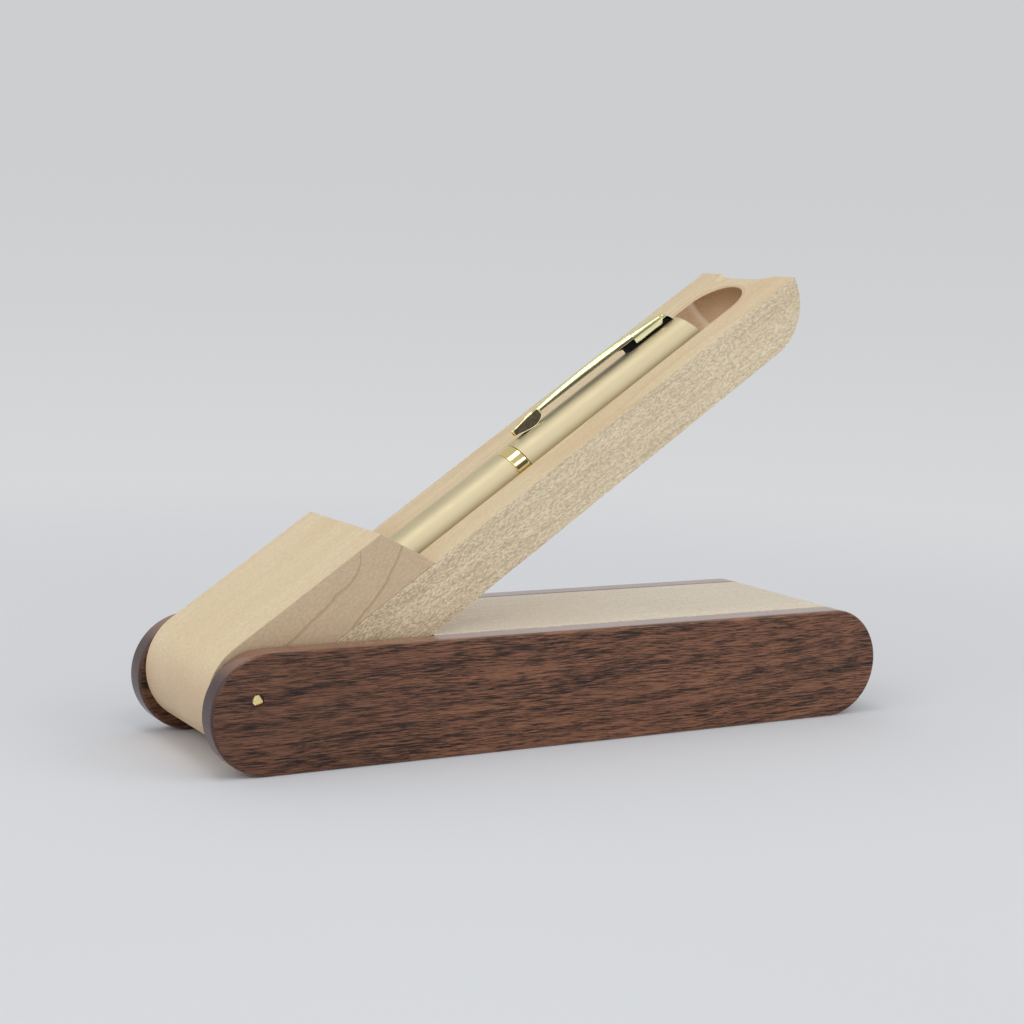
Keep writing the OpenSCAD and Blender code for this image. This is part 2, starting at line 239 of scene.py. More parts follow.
def ease(piece, width, segments=2, angle=30):
    """Rounds the edges that are sharper than an angle in degrees."""
    apply_modifier(
        piece,
        "BEVEL",
        width=width,
        segments=segments,
        limit_method="ANGLE",
        angle_limit=math.radians(angle),
        use_clamp_overlap=True,
    )


def ease_where(piece, width, wanted, segments=2, angle=30):
    """Rounds those of the sharp edges whose two ends are wanted."""
    limit = math.radians(angle)
    with bench(piece):
        pick(
            piece,
            "EDGE",
            lambda edge: edge.calc_face_angle(0) > limit and all(wanted(v.co) for v in edge.verts),
        )
        bpy.ops.mesh.bevel(offset=width, segments=segments, affect="EDGES", clamp_overlap=True)


def smooth(piece, angle=32):
    """Smooth shading that keeps broad faces flat up to their eased edges."""
    take(piece)
    bpy.ops.object.shade_smooth_by_angle(angle=math.radians(angle))
    apply_modifier(piece, "WEIGHTED_NORMAL", keep_sharp=True, weight=80)


def stretch(piece, middle_x, run):
    """Moves all that lies past the middle along x, which makes a round form a long one."""
    with bench(piece):
        pick(piece, "VERT", lambda corner: corner.co.x > middle_x)
        bpy.ops.transform.translate(value=(run, 0, 0))


# Blanks and cutters, in the shut box
def outline_block(name, y_from, y_to):
    """Block in the box's side outline: a disc stretched to the box's length and given its width."""
    half_step = math.pi / END_STEPS
    bpy.ops.mesh.primitive_circle_add(
        vertices=END_STEPS,
        radius=end_r / math.cos(half_step),
        fill_type="NGON",
        location=(end_r, y_from, end_r),
        rotation=(math.pi / 2, half_step, 0),
    )
    block = started(name)
    stretch(block, end_r, box_l - box_h)
    with bench(block):
        bpy.ops.mesh.extrude_region_move(TRANSFORM_OT_translate={"value": (0, y_to - y_from, 0)})
    face_outwards(block)
    return block


def rod(name, radius, length, middle, rotation):
    """Rod of a length about its middle."""
    bpy.ops.mesh.primitive_cylinder_add(
        vertices=BORE_STEPS, radius=radius, depth=length, location=middle, rotation=rotation
    )
    return started(name)


def rod_across(name, radius, y_from, y_to):
    """Rod along y at the pivot."""
    middle = (pin_x, (y_from + y_to) / 2, pivot.z)
    return rod(name, radius, y_to - y_from, middle, (math.pi / 2, 0, 0))


def ball_cutter(x_from, x_to, z):
    """Path of a round-nosed cutter along x: a ball stretched from one end to the other."""
    half_ring = math.pi / BALL_RINGS / 2
    bpy.ops.mesh.primitive_uv_sphere_add(
        segments=BALL_SEGMENTS,
        ring_count=BALL_RINGS,
        radius=groove_r / math.cos(half_ring),
        location=(x_from, 0, z),
        rotation=(0, math.pi / 2, 0),
    )
    cutter = started("ball_cutter")
    stretch(cutter, x_from, x_to - x_from)
    return cutter


def rim_cutter(x_from, x_to, z, upwards):
    """Bevel round a groove's rim: a flat cone stretched along the groove."""
    half_step = math.pi / BALL_SEGMENTS
    overshoot = groove_ease
    inner, outer = groove_r - overshoot, groove_r + groove_ease + overshoot
    depth = outer - inner
    middle_z = z - (depth / 2 - 2 * overshoot + groove_ease) * upwards
    bpy.ops.mesh.primitive_cone_add(
        vertices=BALL_SEGMENTS,
        radius1=(inner if upwards > 0 else outer) / math.cos(half_step),
        radius2=(outer if upwards > 0 else inner) / math.cos(half_step),
        depth=depth,
        location=(x_from, 0, middle_z),
        rotation=(0, 0, half_step),
    )
    cutter = started("rim_cutter")
    stretch(cutter, x_from, x_to - x_from)
    return cutter


def nose_hole_cutter():
    """Hole for the pen's nose, past the tunnel's ball end."""
    middle = (tunnel_x - nose_hole_l / 2, 0, pen_z)
    return rod("nose_hole_cutter", nose_hole_r, nose_hole_l, middle, (0, math.pi / 2, 0))


def cutting_block(reach, place):
    """Block that stands on a plane, moved to its place."""
    bpy.ops.mesh.primitive_cube_add(size=reach, location=(0, 0, reach / 2))
    return moved(started("cutting_block"), place)


def scoop_cutter():
    """Finger scoop: a steep step, a floor and a gentle ramp, sloping down to the arm's end."""
    length = 2 * groove_end_wall
    far_y = holder_w / 2 - scoop_rail_w - scoop_step_w
    middle_y = far_y - scoop_floor_w / 2
    bpy.ops.mesh.primitive_cube_add(size=1, location=(length / 2, middle_y, scoop_depth))
    bpy.context.object.scale = (length, scoop_floor_w, 2 * scoop_depth)
    cutter = started("scoop_cutter")

    def lower_edge(edge, side):
        return all(v.co.z < scoop_depth and (v.co.y - middle_y) * side > 0 for v in edge.verts)

    with bench(cutter):
        for side, run in ((1, scoop_step_w), (-1, scoop_ramp_w)):
            pick(cutter, "VERT", lambda v: v.co.z > scoop_depth and (v.co.y - middle_y) * side > 0)
            bpy.ops.transform.translate(value=(0, 2 * side * run, 0))
        for side, width in ((1, scoop_foot_ease), (-1, scoop_valley_ease)):
            pick(cutter, "EDGE", lambda edge: lower_edge(edge, side))
            bpy.ops.mesh.bevel(offset=width, segments=8, affect="EDGES")
    slope = math.atan(scoop_depth / groove_end_wall)
    start = Vector((groove_x + groove_r, 0, arm_t))
    return moved(cutter, Matrix.Translation(start) @ Matrix.Rotation(slope, 4, "Y"))


# Wooden pieces and the pin
def side_plate(name, side):
    """Dark plate with rounded edges, and the pin's hole with a ring sunk round it."""
    inner, outer = inner_w / 2, inner_w / 2 + plate_t
    plate = outline_block(name, *sorted((side * inner, side * outer)))
    ease(plate, plate_ease, segments=4)
    ring_floor = outer - pin_ring_depth
    carve(
        plate,
        rod_across("hole", pin_r, *sorted((side * (inner - MM), side * (outer + MM)))),
        rod_across("ring", pin_r + pin_ring_w, *sorted((side * ring_floor, side * (outer + MM)))),
    )
    return moved(plate, Matrix.Translation(box_start))


def base_block():
    """Block over the shut holder: sawn flat below and slanted at the front, grooved for the pen."""
    block = outline_block("base_block_wood", -inner_w / 2, inner_w / 2)
    saw(block, (0, 0, shelf_z), (0, 0, -1))
    saw(block, slant_foot + slant_gap * slant_normal, -slant_normal)
    ease(block, block_ease)
    start_x = slant_foot_x - slant_run - groove_r
    carve(block, ball_cutter(start_x, groove_x, shelf_z), rim_cutter(start_x, groove_x, shelf_z, -1))
    return moved(block, Matrix.Translation(box_start))


def holder_arm():
    """Arm with the pen's groove, its eased rim, the nose hole and the finger scoop."""
    arm = outline_block("holder_arm_wood", -holder_w / 2, holder_w / 2)
    saw(arm, (0, 0, arm_t), (0, 0, 1))
    with bench(arm):
        bpy.ops.mesh.bisect(plane_co=(slant_foot_x, 0, 0), plane_no=(1, 0, 0))
    joint_x, joint_z = slant_foot_x - joint_margin, arm_t - joint_margin
    ease_where(arm, block_ease, lambda at: at.z < joint_z or at.x > joint_x)
    carve(
        arm,
        ball_cutter(tunnel_x, groove_x, arm_t),
        rim_cutter(slant_foot_x, groove_x, arm_t, 1),
        nose_hole_cutter(),
        scoop_cutter(),
    )
    return moved(arm, to_display)


def front_block():
    """Block on the arm at the pivot end, with the slanted face and the roof of the pen's tunnel."""
    block = outline_block("holder_front_block_wood", -holder_w / 2, holder_w / 2)
    saw(block, (0, 0, arm_t), (0, 0, -1))
    saw(block, slant_foot, slant_normal)
    ease_where(block, block_ease, lambda at: at.z > arm_t + joint_margin)
    carve(
        block,
        ball_cutter(tunnel_x, groove_x, arm_t),
        nose_hole_cutter(),
        rod_across("bore", pin_r + pin_run, -holder_w, holder_w),
    )
    return moved(block, to_display)


def file_block(side, turn):
    """Block whose face is one stroke of the file over the edge of a pin's end."""
    outwards = Vector((math.cos(turn), 0, math.sin(turn)))
    lean = outwards * math.sin(FILE_LEAN) + Vector((0, side * math.cos(FILE_LEAN), 0))
    edge = Vector((pin_x, side * pin_high.y, pivot.z)) + filed_flat_r * outwards
    stroke = lean.to_track_quat("Z", "Y").to_matrix().to_4x4()
    return cutting_block(4 * pin_r, Matrix.Translation(edge) @ stroke)


def pivot_pin():
    """Brass pin, cut off flush, with three strokes of the file over the edge of each end."""
    pin = rod_across("pivot_pin_brass", pin_r, -pin_high.y, pin_high.y)
    ease(pin, pin_ease)
    for side in (-1, 1):
        for turn in FILE_TURNS:
            carve(pin, file_block(side, math.radians(turn)))
    ease(pin, filed_ease, angle=20)
    return moved(pin, Matrix.Translation(box_start))


# Turned pieces of the pen, standing on its nose
def turned(name, outline, closed):
    """Piece turned on a lathe: a ring extruded from one (radius, station) to the next.

    A closed outline goes round a tube's wall. An open one has its two ends filled."""
    (radius, station), *others = outline
    bpy.ops.mesh.primitive_circle_add(vertices=LATHE_STEPS, radius=radius, location=(0, 0, station))
    piece = started(name)
    with bench(piece):
        for next_radius, next_station in others + [outline[0]] * closed:
            bpy.ops.mesh.extrude_edges_move(
                TRANSFORM_OT_translate={"value": (0, 0, next_station - station)}
            )
            scale = next_radius / radius
            bpy.ops.transform.resize(value=(scale, scale, 1), center_override=(0, 0, next_station))
            radius, station = next_radius, next_station
        bpy.ops.mesh.select_all(action="SELECT")
        if closed:
            bpy.ops.mesh.remove_doubles(threshold=0.001 * MM)
        else:
            bpy.ops.mesh.fill_holes(sides=0)
    face_outwards(piece)
    return piece


def tube(name, inner, outer, start, end):
    """Plain turned tube between two stations."""
    return turned(name, [(inner, start), (outer, start), (outer, end), (inner, end)], closed=True)


pen_r = width_of("pen_upper_barrel") / 2
ring_r = width_of("pen_centre_ring") / 2
upper_from, upper_to = stations("pen_upper_barrel")
ring_from, ring_to = stations("pen_centre_ring")
lower_from, lower_to = stations("pen_lower_barrel")
nose_from = stations("pen_nose_tip")[0]
plug_from, plug_to = stations("pen_end_plug")
clip_from, clip_to = stations("pen_clip")
fit = 0.02 * MM
bore_r = 5 * MM
twist_r = 4.1 * MM
twist_lower_l = 16 * MM
taper_l = 26 * MM
TAPER_STEPS = 24
nose_r = 3.4 * MM
nose_end_r = 1.6 * MM
nose_bore_r = 1.23 * MM
spigot_r = 2.6 * MM
spigot_l = 4 * MM
plug_neck_r = 3.8 * MM
plug_head_t = 1.6 * MM
plug_collar_l = 3 * MM
plug_dome = 0.35 * MM
end_slant = math.radians(16)
end_slant_from = 1.4 * MM


def slant_cutter():
    """Block past the pen's end, which is slanted on the clip's side."""
    start = Matrix.Translation((-end_slant_from, 0, upper_to))
    return cutting_block(3 * pen_r, start @ Matrix.Rotation(-end_slant, 4, "Y"))


def upper_barrel():
    """Satin tube with the slot for the clip's tab."""
    barrel = tube("pen_upper_barrel_satin", bore_r, pen_r, upper_from, upper_to)
    carve(barrel, slant_cutter())
    ease(barrel, pen_ease, segments=3)
    bpy.ops.mesh.primitive_cube_add(size=1, location=(-pen_r, 0, clip_to - tab_l / 2))
    bpy.context.object.scale = (pen_r, tab_w + 2 * clip_gap, tab_l + 2 * clip_gap)
    carve(barrel, moved(started("slot"), Matrix.Rotation(-clip_roll, 4, "Z")))
    return moved(barrel, pen_to_display)


def centre_ring():
    """Polished ring between the barrels."""
    ring = tube("pen_centre_ring_polished", twist_r + fit, ring_r, ring_from, ring_to)
    ease(ring, pen_ease, segments=3)
    return moved(ring, pen_to_display)


def lower_barrel():
    """Satin barrel that tapers to the nose on one long curve."""
    taper_from = lower_from + taper_l
    shares = [1 - i / TAPER_STEPS for i in range(TAPER_STEPS)]
    taper = [(pen_r - (pen_r - nose_r) * t**2, taper_from - taper_l * t) for t in shares]
    shoulder = lower_to - twist_lower_l
    wall = [
        (pen_r, taper_from),
        (pen_r, lower_to),
        (twist_r + fit, lower_to),
        (twist_r + fit, shoulder),
        (spigot_r + fit, shoulder),
        (spigot_r + fit, lower_from),
    ]
    barrel = turned("pen_lower_barrel_satin", taper + wall, closed=True)
    ease(barrel, pen_ease, segments=3)
    return moved(barrel, pen_to_display)


def nose_tip():
    """Polished cone with a rounded mouth, and its spigot in the barrel."""
    tip = turned(
        "pen_nose_tip_polished",
        [
            (nose_bore_r, nose_from),
            (nose_end_r, nose_from),
            (nose_r, lower_from),
            (spigot_r, lower_from),
            (spigot_r, lower_from + spigot_l),
            (nose_bore_r, lower_from + spigot_l),
        ],
        closed=True,
    )
    ease(tip, pen_ease / 2, segments=3)
    return moved(tip, pen_to_display)


def end_plug():
    """Plug in the pen's top end, with a slightly domed face."""
    head_r = bore_r - fit
    head_from = plug_to - plug_head_t
    dome_r = [head_r * share for share in (0.92, 0.7, 0.4, 0.1)]
    dome = [(r, plug_to - plug_dome * (r / head_r) ** 2) for r in dome_r]
    plug = turned(
        "pen_end_plug_satin",
        [
            (plug_neck_r, plug_from),
            (head_r, plug_from),
            (head_r, plug_from + plug_collar_l),
            (plug_neck_r, plug_from + plug_collar_l),
            (plug_neck_r, head_from),
            (head_r, head_from),
            (head_r, plug_to - plug_dome),
            *dome,
        ],
        closed=False,
    )
    carve(plug, slant_cutter())
    return moved(plug, pen_to_display)


# Clip, in millimetres: along is counted from its tip, and height from the barrel's top
clip_l = (clip_to - clip_from) / MM
clip_roll = math.radians(12)
clip_gap = 0.05 * MM
clip_sheet_t = 0.4 * MM
tab_w = 2.8 * MM
tab_l = 1.9 * MM
tab_sheet_t = 1.7 * MM
tab_rise = 0.15 * MM
CLIP_CROWN_AT = 27
CLIP_CROWN_H = 3.72
CLIP_TOE_H = 2.25
CLIP_TAIL_L = 1.75
CLIP_TAIL_H = 0.3
CLIP_TAIL_CURVE = 1.3
CLIP_UNDERSIDE_H = 2.05
CLIP_LEAST_FOLD = 0.7
CLIP_ROOT_FOLD = 0.4
CLIP_ROOT_H = 1.6
CLIP_RIM = 0.25
CLIP_EDGE = 0.12
CLIP_FOLD_R = 0.4
CLIP_TOP_CROWN = 0.12
FOLD_TURN = math.radians(67)
FOOT_TURN = math.radians(78)
CHEEK_FROM = clip_l - 12
CHEEK_TO = clip_l - 3
CHEEK_TOP_H = 1.8
CHEEK_FOOT_H = 0.63
CHEEK_LEAN = math.tan(math.radians(8))
CHEEK_LIP = 0.11
CHEEK_LIP_H = 0.22
CHEEK_CORNER_R = 0.4
CHEEK_FRONT = 0.12
CHEEK_BEND = 0.1
SHOE_L = 8.7
SHOE_HEEL = 5.6
SHOE_TIP_DEPTH = 1.5
TOE_L = 1.0
TOE_LEAST = 0.3
WIDTHS = [(0, 1.8), (2.7, 2.6), (SHOE_L, 2.6), (CHEEK_FROM, 3.8), (clip_l, 3.8)]
FOLD_ARC_STEPS = 5
SIDE_SHARES = (1, 0.96, 0.75, 0.5, 0.25, 0)

# Where shade and dark reflections are painted on the clip instead of its polish: the order of its
# materials, and the borders of their faces
HOLLOW_SHADE, DARK_REFLECTION = 1, 2
DARK_REFLECTION_BORDER = 0.3
HOLLOW_SHADE_BORDER = 0.02
SIDEWAYS = 0.8

# Block painted dark inside the clip's root, standing in for the shade there: its outline before the
# clip's end and over the barrel
BLOCK_HALF_W = 1.45
BLOCK_OUTLINE = [
    (18.4, 2.1),
    (16.4, 1.65),
    (15.0, 1.3),
    (14.4, 0.8),
    (14.3, -0.15),
    (0.8, -0.15),
    (0.7, 0.5),
    (1.7, 1.3),
    (3.2, 1.9),
    (9.0, 2.6),
    (15.0, 2.7),
]


def clip_half_width(along):
    """Half of the clip's width in plan, with a rounded toe."""
    for (a, wide_a), (b, wide_b) in zip(WIDTHS, WIDTHS[1:]):
        if along <= b:
            half = (wide_a + (wide_b - wide_a) * (along - a) / (b - a)) / 2
            break
    toe = max(0, 1 - along / TOE_L)
    return half * max(TOE_LEAST, math.sqrt(1 - toe**2))


def clip_height(along):
    """Height of the outer face over the barrel's top: a shallow arch, bent down at its end."""
    from_crown = (along - CLIP_CROWN_AT) / CLIP_CROWN_AT
    height = CLIP_CROWN_H - (CLIP_CROWN_H - CLIP_TOE_H) * from_crown**2
    tail = max(0, 1 - (clip_l - along) / CLIP_TAIL_L)
    return height + (CLIP_TAIL_H - height) * tail**CLIP_TAIL_CURVE


def round_corner(share):
    """What a rounded corner takes away, from all of its radius at 0 to nothing at 1."""
    share = min(max(share, 0), 1)
    return 1 - math.sqrt(1 - (1 - share) ** 2)


def fold_depth(along):
    """Depth of the folded edges below the outer face."""
    half, height = clip_half_width(along), clip_height(along)
    barrel_drop = pen_r / MM - math.sqrt((pen_r / MM) ** 2 - half**2)
    down_to_barrel = height + barrel_drop - clip_gap / MM
    if along <= SHOE_HEEL:
        rounded = math.sin(along / SHOE_HEEL * math.pi / 2)
        return SHOE_TIP_DEPTH + (down_to_barrel - SHOE_TIP_DEPTH) * rounded
    if along <= SHOE_L:
        share = (along - SHOE_HEEL) / (SHOE_L - SHOE_HEEL)
        arm = height - CLIP_UNDERSIDE_H + CLIP_EDGE
        return arm + (down_to_barrel - arm) * math.sqrt(1 - share**2)
    if CHEEK_FROM < along < CHEEK_TO:
        corner = min(along - CHEEK_FROM, CHEEK_TO - along) / CHEEK_CORNER_R
        return height - CHEEK_FOOT_H - CHEEK_CORNER_R * round_corner(corner)
    return side_depth(along) + CLIP_EDGE


def side_depth(along):
    """Depth of the leaning sides below the outer face, above the cheeks."""
    if along <= SHOE_L:
        return fold_depth(along) - CLIP_EDGE
    if along >= CHEEK_TO:
        return max(CLIP_ROOT_FOLD, clip_height(along) - CLIP_ROOT_H)
    if along > CHEEK_FROM:
        return clip_height(along) - CHEEK_TOP_H
    return max(CLIP_LEAST_FOLD, clip_height(along) - CLIP_UNDERSIDE_H)


def clip_section(along):
    """Sheet's outer face across the clip, from one fold's foot to the other's: (side, height)."""
    half, top, foot = clip_half_width(along), clip_height(along), side_depth(along)
    fold_r = min(CLIP_FOLD_R, half / 2, foot / 2)
    start = fold_r * (1 - math.cos(FOLD_TURN))
    lean_from, lean_to = 1 / math.tan(FOLD_TURN), 1 / math.tan(FOOT_TURN)
    lean_share = min(1, 2 * half / WIDTHS[1][1])
    below = fold_depth(along) - foot
    lip_h = min(CHEEK_LIP_H, below / 2)
    lip = CHEEK_LIP * min(1, below)
    side = [(half - CHEEK_LEAN * below + lip, top - foot - below)]
    for down in (below - lip_h, min(CHEEK_BEND, below / 4)):
        side.append((half - CHEEK_LEAN * down, top - foot - down))
    for share in SIDE_SHARES:
        lean = lean_from * (1 - share) - (lean_from - lean_to) * (1 - share**2) / 2
        side.append((half - lean_share * (foot - start) * lean, top - start - (foot - start) * share))
    shoulder = side[-1][0]
    for i in range(FOLD_ARC_STEPS - 1, -1, -1):
        turn = FOLD_TURN * i / FOLD_ARC_STEPS
        inwards = fold_r * (math.sin(FOLD_TURN) - math.sin(turn))
        side.append((shoulder - inwards, top - fold_r * (1 - math.cos(turn))))
    side.append((side[-1][0] / 2, top + 0.75 * CLIP_TOP_CROWN))
    middle = [(0, top + CLIP_TOP_CROWN)]
    return [(-y, h) for y, h in side] + middle + side[::-1]


def clip_stations():
    """Places along the clip where its section changes, closest at its corners."""
    hair = 0.01
    spans = [
        (0, TOE_L, 8),
        (TOE_L, SHOE_HEEL, 10),
        (SHOE_HEEL, SHOE_L - 0.5, 8),
        (SHOE_L - 0.5, SHOE_L, 10),
        (SHOE_L, CHEEK_FROM, 30),
        (CHEEK_FROM + hair, CHEEK_FROM + CHEEK_CORNER_R, 8),
        (CHEEK_FROM + CHEEK_CORNER_R, CHEEK_TO - CHEEK_CORNER_R, 10),
        (CHEEK_TO - CHEEK_CORNER_R, CHEEK_TO - hair, 8),
        (CHEEK_TO, clip_l - CLIP_TAIL_L, 3),
        (clip_l - CLIP_TAIL_L, clip_l, 10),
    ]
    found = {round(a + (b - a) * i / n, 4) for a, b, n in spans for i in range(n + 1)}
    return sorted(found)


def root_shade_block(hollow_shade):
    """Dark block that fills the clip's root, standing on the barrel: painted shade in the root."""
    corners = len(BLOCK_OUTLINE)
    bpy.ops.mesh.primitive_circle_add(vertices=corners, fill_type="NGON")
    block = started("root_shade_block")
    for corner, (before_end, height) in zip(block.data.vertices, BLOCK_OUTLINE):
        corner.co = (pen_r + height * MM, -BLOCK_HALF_W * MM, clip_to - before_end * MM)
    with bench(block):
        bpy.ops.mesh.extrude_region_move(TRANSFORM_OT_translate={"value": (0, 2 * BLOCK_HALF_W * MM, 0)})
    face_outwards(block)
    block.data.materials.append(hollow_shade)
    return block


def clip(polished, hollow_shade, shoe_reflection):
    """Clip folded from thin sheet: arched arm, cheeks, a shoe, and in its root a dark block of painted
    shade and a tab.
    """
    places = clip_stations()
    sections = [clip_section(along) for along in places]
    rows, columns = len(places), len(sections[0])
    bpy.ops.mesh.primitive_grid_add(x_subdivisions=rows - 1, y_subdivisions=columns - 1, size=1)
    sheet = started("pen_clip_folded")
    for corner in sheet.data.vertices:
        row = round((corner.co.x + 0.5) * (rows - 1))
        column = round((corner.co.y + 0.5) * (columns - 1))
        side, height = sections[row][column]
        corner.co = (pen_r + height * MM, side * MM, clip_from + places[row] * MM)
    for material in (polished, hollow_shade, shoe_reflection):
        sheet.data.materials.append(material)
    with bench(sheet):
        bpy.ops.mesh.normals_make_consistent(inside=False)
    top = max(sheet.data.polygons, key=lambda face: face.center.x)
    if top.normal.x < 0:
        with bench(sheet):
            bpy.ops.mesh.flip_normals()
    # Painted shade: the sheet's inner faces get the dark hollow metal
    apply_modifier(
        sheet, "SOLIDIFY", thickness=clip_sheet_t, offset=-1, use_even_offset=True, material_offset=HOLLOW_SHADE
    )
    for face in sheet.data.polygons:
        along = (face.center.z - clip_from) / MM
        down = pen_r / MM + clip_height(along) - face.center.x / MM
        on_side = abs(face.normal.y) > SIDEWAYS and CLIP_FOLD_R < down < fold_depth(along) - CLIP_RIM
        under_side = down > side_depth(along) + HOLLOW_SHADE_BORDER
        # Painted reflection: the shoe's sides get dark metal for the darkness they mirror
        if on_side and along < SHOE_L - DARK_REFLECTION_BORDER:
            face.material_index = DARK_REFLECTION
        # Painted shade: the faces under the arm's sides get the dark hollow metal
        elif under_side and SHOE_L < along < CHEEK_FROM + CHEEK_FRONT:
            face.material_index = HOLLOW_SHADE
    block = root_shade_block(hollow_shade)
    tab_from = plug_neck_r + clip_gap
    tab_to = pen_r + tab_rise
    bpy.ops.mesh.primitive_cube_add(
        size=1, location=((tab_from + tab_to) / 2, 0, clip_to - tab_sheet_t / 2)
    )
    bpy.context.object.scale = (tab_to - tab_from, tab_w, tab_sheet_t)
    tab = started("tab")
    tab.data.materials.append(hollow_shade)
    block.select_set(True)
    sheet.select_set(True)
    bpy.context.view_layer.objects.active = sheet
    bpy.ops.object.join()
    return moved(sheet, pen_to_display @ Matrix.Rotation(math.pi - clip_roll, 4, "Z"))


# Stage: floor, lights and the photograph's camera
CAMERA_AZIMUTH = math.radians(-30.387)
CAMERA_ELEVATION = math.radians(7.476)
CAMERA_ROLL = math.radians(2.153)
CAMERA_DISTANCE = 460.22 * MM
CAMERA_TARGET = Vector((-3.943, 0, 50.300)) * MM
CAMERA_LENS = 68.938
CAMERA_SENSOR = 36
CAMERA_NEAREST = 0.01


def camera():
    back = Vector((
        math.sin(CAMERA_AZIMUTH) * math.cos(CAMERA_ELEVATION),
        -math.cos(CAMERA_AZIMUTH) * math.cos(CAMERA_ELEVATION),
        math.sin(CAMERA_ELEVATION),
    ))
    level = Vector((math.cos(CAMERA_AZIMUTH), math.sin(CAMERA_AZIMUTH), 0))
    upright = back.cross(level)
    right = level * math.cos(CAMERA_ROLL) + upright * math.sin(CAMERA_ROLL)
    up = back.cross(right)
    place = CAMERA_TARGET + back * CAMERA_DISTANCE
    made = bpy.data.objects.new("camera", bpy.data.cameras.new("camera"))
    made.data.lens = CAMERA_LENS
    made.data.sensor_width = CAMERA_SENSOR
    made.data.clip_start = CAMERA_NEAREST
    made.matrix_world = Matrix((
        (right.x, up.x, back.x, place.x),
        (right.y, up.y, back.y, place.y),
        (right.z, up.z, back.z, place.z),
        (0, 0, 0, 1),
    ))
    bpy.context.scene.collection.objects.link(made)
    bpy.context.scene.camera = made


def put(tree, kind, values=None, **options):
    """Adds a node. A value is a number or colour for that input, or an output to link to it."""
    made = tree.nodes.new("ShaderNode" + kind)
    for option, choice in options.items():
        setattr(made, option, choice)
    for socket, value in (values or {}).items():
        if isinstance(value, bpy.types.NodeSocket):
            tree.links.new(value, made.inputs[socket])
        else:
            made.inputs[socket].default_value = value
    return made


def reckon(tree, operation, *values):
    """Result of one sum on numbers or outputs."""
    return put(tree, "Math", dict(enumerate(values)), operation=operation).outputs[0]


def times(tree, first, second):
    """Product of two numbers or outputs."""
    return reckon(tree, "MULTIPLY", first, second)


def between(tree, value, low, high, start=0, end=1):
    """Goes smoothly from start to end as the value goes from low to high."""
    limits = {"Value": value, "From Min": low, "From Max": high, "To Min": start, "To Max": end}
    return put(tree, "MapRange", limits, interpolation_type="SMOOTHSTEP").outputs["Result"]


def mixed(tree, share, first, second, blend_type="MIX"):
    """Colour between two others."""
    inputs = {0: share, 6: first, 7: second}
    return put(tree, "Mix", inputs, data_type="RGBA", blend_type=blend_type).outputs[2]


def seen(red, green, blue):
    """Colour for a shader, from the red, green and blue of 0 to 255 that are seen on a screen."""
    shares = [level / 255 for level in (red, green, blue)]
    linear = [c / 12.92 if c <= 0.04045 else ((c + 0.055) / 1.055) ** 2.4 for c in shares]
    return (*linear, 1)


def begun(name, fixed):
    """New material: itself, its node tree and its shader, with the shader's fixed inputs set."""
    material = bpy.data.materials.new(name)
    material.use_nodes = True
    shader = material.node_tree.nodes["Principled BSDF"]
    for socket, value in fixed.items():
        shader.inputs[socket].default_value = value
    return material, material.node_tree, shader


def dress(tree, shader, colour, roughness, height, depth):
    """Links colour, roughness and relief to a shader. The relief is depth metres deep."""
    tree.links.new(colour, shader.inputs["Base Color"])
    tree.links.new(roughness, shader.inputs["Roughness"])
    relief = put(tree, "Bump", {"Height": height, "Distance": depth, "Strength": 1})
    tree.links.new(relief.outputs["Normal"], shader.inputs["Normal"])


def fibre_place(tree, lean):
    """Millimetres from the pivot, with x along the fibres of wood that leans by an angle."""
    where = put(tree, "TexCoord").outputs["Object"]
    placed = {"Vector": where, "Location": pivot, "Rotation": (0, -lean, 0), "Scale": (MM, MM, MM)}
    return put(tree, "Mapping", placed, vector_type="TEXTURE").outputs["Vector"]


def millimetres(tree):
    """Millimetres from the frame's origin."""
    where = put(tree, "TexCoord").outputs["Object"]
    return put(tree, "Mapping", {"Vector": where, "Scale": (1 / MM,) * 3}).outputs["Vector"]


def turned_place(tree, place, angle):
    """A place turned about the y axis by an angle in degrees, so that a pattern rises along x."""
    turn = {"Vector": place, "Rotation": (0, math.radians(angle), 0)}
    return put(tree, "Mapping", turn).outputs["Vector"]


def coordinates(tree, place):
    """The three parts of a place."""
    apart = put(tree, "SeparateXYZ", {"Vector": place})
    return apart.outputs["X"], apart.outputs["Y"], apart.outputs["Z"]


def grains(tree, place, sizes, detail=2, roughness=0.5, distortion=0):
    """Noise from 0 to 1 whose grains have these sizes along x, y and z."""
    counts = [1 / size for size in sizes]
    scaled = put(tree, "Mapping", {"Vector": place, "Scale": counts}).outputs["Vector"]
    settings = {"Scale": 1, "Detail": detail, "Roughness": roughness, "Distortion": distortion}
    return put(tree, "TexNoise", {"Vector": scaled, **settings}).outputs["Fac"]


def swayed(tree, place, sizes, reach):
    """A place moved across the fibres by slow noise, so that they wander."""
    noise = grains(tree, place, sizes, detail=1)
    shift = reckon(tree, "MULTIPLY_ADD", noise, 2 * reach, -reach)
    across = put(tree, "CombineXYZ", {"Y": shift, "Z": shift}).outputs["Vector"]
    return put(tree, "VectorMath", {0: place, 1: across}, operation="ADD").outputs["Vector"]


def facing(tree, axis, low, high):
    """1 on faces that look along an axis, and 0 on the others."""
    normal = put(tree, "TexCoord").outputs["Normal"]
    part = put(tree, "SeparateXYZ", {"Vector": normal}).outputs[axis]
    return between(tree, reckon(tree, "ABSOLUTE", part), low, high)


# Woods
DARK_BROWN = seen(138, 93, 69)
WARM_BROWN = seen(149, 101, 74)
DARK_STREAK = seen(34, 22, 19)
DARK_PORE = seen(48, 32, 27)
DARK_END_FACE = seen(88, 66, 62)
